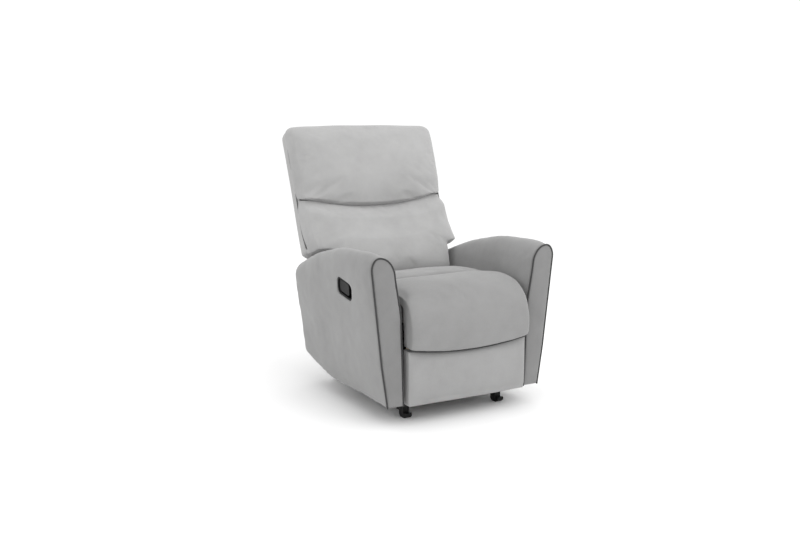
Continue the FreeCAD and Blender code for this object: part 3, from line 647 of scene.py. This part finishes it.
def back(cloth, cord, dark):
    def framed(point):
        x, y, z = upright(point)
        return ease(0.004, 0.014, y - bend(z))

    head = remeshed(padded_form("head_cushion", 44, head_place), 0.007, 2)
    stuffed(head, framed, 2.2, 0.012)
    ruffled(head, 0.0035, 6.0, 2.0)
    dressed(head, cloth, "back", ["head_pad"])
    lumbar = remeshed(padded_form("lumbar_cushion", 44, lumbar_place), 0.007, 2)
    stuffed(lumbar, framed, 2.2, 0.010)
    ruffled(lumbar, 0.0030, 6.0, 5.0)
    dressed(lumbar, cloth, "back", ["lumbar_pad"])
    shell = remeshed(padded_form("back_cover", 44, shell_place), 0.007, 3)
    ruffled(shell, 0.0025, 6.0, 8.0)
    dressed(shell, cloth, "back", ["back_shell"], levels=0)

    rows = [EAR_LOW + (BACK_TOP - 0.002 - EAR_LOW) * k / 22.0 for k in range(23)]
    side = [leaned(back_half(z) + 0.0012, 0.0125 + bend(z), z) for z in rows]
    across = [leaned(EAR_HALF * k / 10.0 * 0.86, 0.0135, back_ridge(EAR_HALF * k / 10.0) - 0.001)
              for k in range(9, -10, -1)]
    line = side + across + [Vector((-p.x, p.y, p.z)) for p in reversed(side)]
    piping("back_edge_seam", line, cord, "back", 0.0024)
    # A dark cord along the seam under the head pad, set on the lumbar's top: painted shade for the seam's
    # shadow line.
    seam = []
    for k in range(-16, 17):
        u = k / 16.0 * 0.985
        spot = upright(lumbar_place(u, -1.0, 1.0))
        seam.append(leaned(spot[0], spot[1] - 0.001, smile(u * EAR_HALF) - 0.001))
    piping("head_cushion_seam", seam, dark, "back", 0.0024)


# ---------------------------------------------------------------- seat and footrest
SEAT_LOW = 0.351
SEAT_HALF = 0.2605
FRONT_SEAM_Y = -0.215
SLOT = 0.003                       # half of what the roll and panel give up beside the right arm


def seat_top(x, y):
    """Height of the seat: fullest near its front and falling to the crease."""
    side = abs(x) / SEAT_HALF
    ridge = 0.489 - 0.047 * max(0.0, (y + 0.200) / 0.290) ** 1.7
    ridge -= 0.032 * ease(0.085, 0.150, y)
    return ridge - (0.010 - 0.014 * ease(-0.08, 0.10, y)) * side ** 4


def seat_place(u, v, w):
    y = mix(-0.350, 0.140, 0.5 + 0.5 * v)
    half = SEAT_HALF - 0.004 * ease(0.9, 1.0, abs(v))
    x = u * half
    top = seat_top(x, y) - 0.030 * (1.0 - ease(-0.245, FRONT_SEAM_Y, y)) \
        - 0.014 * (1.0 - ease(FRONT_SEAM_Y - 0.01, FRONT_SEAM_Y + 0.045, y)) * (0.35 + 0.65 * abs(u) ** 2)
    top -= 0.020 * (1.0 - crown(u, 8.0, 2.0))
    z = mix(SEAT_LOW, top, 0.5 + 0.5 * w)
    return Vector((x, y, z))


ROLL_PATH = (                      # middle of the front roll, from the seat's top down to the smile seam
    (-0.214, 0.452), (-0.270, 0.457), (-0.330, 0.453), (-0.385, 0.440),
    (-0.424, 0.408), (-0.440, 0.360), (-0.444, 0.310), (-0.441, 0.268),
)


def on_path(path, share):
    """A point of a smooth line through the path's points, and the direction there."""
    spot = share * (len(path) - 1)
    index = min(len(path) - 2, int(spot))
    t = spot - index
    before = path[max(0, index - 1)]
    first = path[index]
    last = path[index + 1]
    after = path[min(len(path) - 1, index + 2)]
    place = []
    run = []
    for a, b, c, d in zip(before, first, last, after):
        place.append(0.5 * (2 * b + (c - a) * t + (2 * a - 5 * b + 4 * c - d) * t * t
                            + (3 * b - a - 3 * c + d) * t ** 3))
        run.append(0.5 * ((c - a) + 2 * (2 * a - 5 * b + 4 * c - d) * t
                          + 3 * (3 * b - a - 3 * c + d) * t * t))
    size = math.hypot(*run)
    return place, (run[0] / size, run[1] / size)


def roll_place(u, v, w):
    share = 0.5 - 0.5 * v
    (y, z), (dy, dz) = on_path(ROLL_PATH, share)
    slot = SLOT * ease(0.25, 0.5, share)
    half = 0.2515 + 0.008 * (1.0 - ease(0.25, 0.5, share)) - slot
    x = u * half + slot
    drop = ease(0.7, 1.0, share) * (0.010 - 0.021 * (1.0 - u * u))
    thick = 0.030 * (0.60 + 0.40 * crown(2.0 * share - 1.0, 6.0, 2.0))
    thick *= 0.66 + 0.34 * crown(u, 6.0, 2.0)
    if w < 0:
        thick += 0.024 * ease(0.45, 0.60, share)
    else:
        thick -= 0.010 * math.exp(-((u + 0.97) / 0.10) ** 2 - ((share - 0.40) / 0.10) ** 2)
    tuck = 0.008 * (1.0 - ease(0.0, 0.10, share)) * abs(u) ** 2
    side = thick * w - (tuck if w > 0 else 0.0)
    return Vector((x, y + dz * side, z + drop - dy * side))


def footrest_place(u, v, w):
    x = u * (0.2510 - SLOT - 0.003 * ease(0.8, 1.0, -w)) + SLOT
    z = mix(0.071, 0.270, 0.5 + 0.5 * w)
    front = -0.4390 - 0.009 * crown(u, 6.0, 2.0) * crown(w - 0.2, 4.0, 2.0) \
        + 0.017 * ease(0.55, 1.0, w) * (1.0 - u ** 8)
    return Vector((x, front if v < 0 else -0.3985, z))


def seat(cloth, panel_cloth, cord):
    def boarded(point):
        return 1.0 - ease(0.375, 0.40, point.z)

    cushion = remeshed(padded_form("seat_cover", 46, seat_place), 0.007, 3)
    stuffed(cushion, boarded, 3.0, 0.010)
    ruffled(cushion, 0.0030, 8.0, 1.0)
    dressed(cushion, cloth, "seat", ["seat_cushion"])

    roll = remeshed(padded_form("front_roll", 46, roll_place), 0.007, 3)

    def sewn(point):
        return 1.0 if point.z < 0.285 else 0.0

    stuffed(roll, sewn, 3.0, 0.010)
    ruffled(roll, 0.0030, 7.0, 3.0)
    dressed(roll, cloth, None, ["footrest_upper_pad"])
    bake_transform(roll)

    panel = remeshed(padded_form("footrest_cover", 36, footrest_place), 0.006, 2)
    ruffled(panel, 0.0020, 8.0, 6.0)
    dressed(panel, panel_cloth, "footrest", ["footrest_lower_pad"])
    # A thick dark cord along the seam under the front roll, turned back at both ends: painted shade for the
    # shadow line below the roll.
    seam = []
    for k in range(-20, 21):
        u = k / 20.0
        sag = 1.0 - u * u
        seam.append(Vector((u * (0.2510 - SLOT) + SLOT, -0.4470 - 0.004 * sag, 0.274 - 0.021 * sag)))
    for end in (0, -1):
        turned = Vector((seam[end].x, -0.425, 0.274))
        seam.insert(0 if end == 0 else len(seam), turned)
    piping("footrest_seam", seam, cord, "footrest", 0.0040)


def dust_cloth(cloth):
    """Black cloth that hangs from the seat's front rail and hides the mechanism."""
    bpy.ops.object.select_all(action="DESELECT")
    bpy.ops.mesh.primitive_grid_add(x_subdivisions=40, y_subdivisions=30, size=2)
    piece = bpy.context.object
    piece.name = "dust_cloth"
    for vertex in piece.data.vertices:
        x, along, _ = vertex.co
        z = mix(CLOTH_LOW, CLOTH_TOP, 0.5 + 0.5 * along)
        sway = 0.004 * math.sin(38.0 * x + 1.0) * (0.5 - 0.5 * along)
        vertex.co = Vector((x * CLOTH_HALF, CLOTH_Y + sway, z))
    thick = piece.modifiers.new("thickness", "SOLIDIFY")
    thick.thickness = 0.0008
    only(piece)
    bpy.ops.object.modifier_apply(modifier=thick.name)
    bpy.ops.object.shade_smooth()
    piece.data.materials.append(cloth)
    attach(piece, "seat")


def rear_place(u, v, w):
    low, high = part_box("rear_panel")
    z = mix(low[2], high[2], 0.5 + 0.5 * w)
    y = high[1] + 0.003 * crown(u, 6.0, 2.0) * crown(w, 6.0, 2.0) if v > 0 else low[1]
    return Vector((u * (arm_inner(z) - 0.001), y, z))


# ---------------------------------------------------------------- finishes of the frame and mechanism
def paint(starts, material):
    for name, node in NODES.items():
        if name.startswith(starts):
            node.data.materials.clear()
            node.data.materials.append(material)


def finishes():
    paint(("floor_rail", "front_cross", "rear_cross", "seat_side_plate", "front_swing", "rear_swing",
           "drive_", "torque_", "idler_", "carrier_", "control_", "footrest_bracket",
           "back_bracket", "cable_bracket"), black_steel("satin_black_steel"))
    paint(("arm_board", "seat_side_rail", "seat_front_rail", "seat_rear_rail", "back_post",
           "back_top_rail", "back_ear_rail", "back_lower_rail", "footrest_board"),
          sawn_timber("sawn_pine"))
    paint(("seat_webbing", "back_webbing"), webbing_weave("elastic_webbing"))
    paint(("front_toe", "rear_glide", "release_cable"), moulded_plastic("black_nylon", 0.008, 0.5))
    paint(("handle_cup",), moulded_plastic("handle_cup_plastic", 0.012, 0.5))
    paint(("handle_lever",), moulded_plastic("handle_lever_plastic", 0.010, 0.5))
    paint(("handle_pin",), bright_steel("plain_steel_pin"))


# ---------------------------------------------------------------- room
def room():
    bpy.ops.object.select_all(action="DESELECT")
    bpy.ops.mesh.primitive_plane_add(size=60)
    floor = bpy.context.object
    floor.name = "studio_floor"
    pale = Finish("studio_floor_paint", 0.9)
    pale.shader.inputs["Base Color"].default_value = (0.97, 0.97, 0.97, 1)
    pale.shader.inputs["Specular IOR Level"].default_value = 0.0
    floor.data.materials.append(pale.material)

    world = bpy.data.worlds.new("studio")
    bpy.context.scene.world = world
    world.use_nodes = True
    world.node_tree.nodes["Background"].inputs[0].default_value = (1, 1, 1, 1)
    world.node_tree.nodes["Background"].inputs[1].default_value = 1.06
    bpy.context.scene.view_settings.view_transform = "Standard"

    for name, place, aim, size, power in (
        ("key_light", (0.6, -4.2, 3.4), (0, 0, 0.5), 3.0, 60),
        ("fill_light", (3.4, -2.4, 2.0), (0, 0, 0.5), 2.5, 12),
        ("top_light", (0.0, 0.2, 4.2), (0, 0, 0.4), 2.6, 25),
    ):
        lamp = bpy.data.lights.new(name, "AREA")
        lamp.energy = power
        lamp.size = size
        holder = bpy.data.objects.new(name, lamp)
        holder.location = place
        holder.rotation_euler = (Vector(aim) - Vector(place)).to_track_quat("-Z", "Y").to_euler()
        bpy.context.scene.collection.objects.link(holder)

    lens = bpy.data.cameras.new("camera")
    lens.lens = CAMERA_LENS
    lens.sensor_width = 36.0
    camera = bpy.data.objects.new("camera", lens)
    camera.location = CAMERA_PLACE
    look = Vector(CAMERA_AIM) - Vector(CAMERA_PLACE)
    camera.rotation_euler = look.to_track_quat("-Z", "Y").to_euler()
    bpy.context.scene.collection.objects.link(camera)
    bpy.context.scene.camera = camera


# ---------------------------------------------------------------- build
# The chair has one grey microfibre. These five copies differ in grey as painted light and shade: the back's
# copy is lightest (painted light), the seat, footrest and arm copies are darker, and the arm facings' copy
# is darkest (painted shade).
cloth_back_painted_light = microfibre("microfibre_back_painted_light", 0.37)
cloth_seat = microfibre("microfibre_seat", 0.252)
cloth_foot = microfibre("microfibre_footrest", 0.293)
cloth_arm = microfibre("microfibre_arm", 0.265)
cloth_facing_painted_shade = microfibre("microfibre_facing_painted_shade", 0.21)
# Near-black cord for the arm piping and the seam cords: partly the piping's own dark colour, partly painted
# shade of the shadow lines beside the piping and in the seams.
shade_dark_cord = piping_cloth("piping_dark_painted_shade", 0.030)
seam_cord = piping_cloth("seam_grey", 0.085)

room()
finishes()
arms(cloth_arm, cloth_facing_painted_shade, shade_dark_cord)
back(cloth_back_painted_light, seam_cord, shade_dark_cord)
seat(cloth_seat, cloth_foot, shade_dark_cord)
dust_cloth(piping_cloth("dust_cloth_black", 0.012))
rear = remeshed(padded_form("rear_cover", 30, rear_place), 0.006, 2)
dressed(rear, cloth_arm, "base", ["rear_panel"], levels=0)
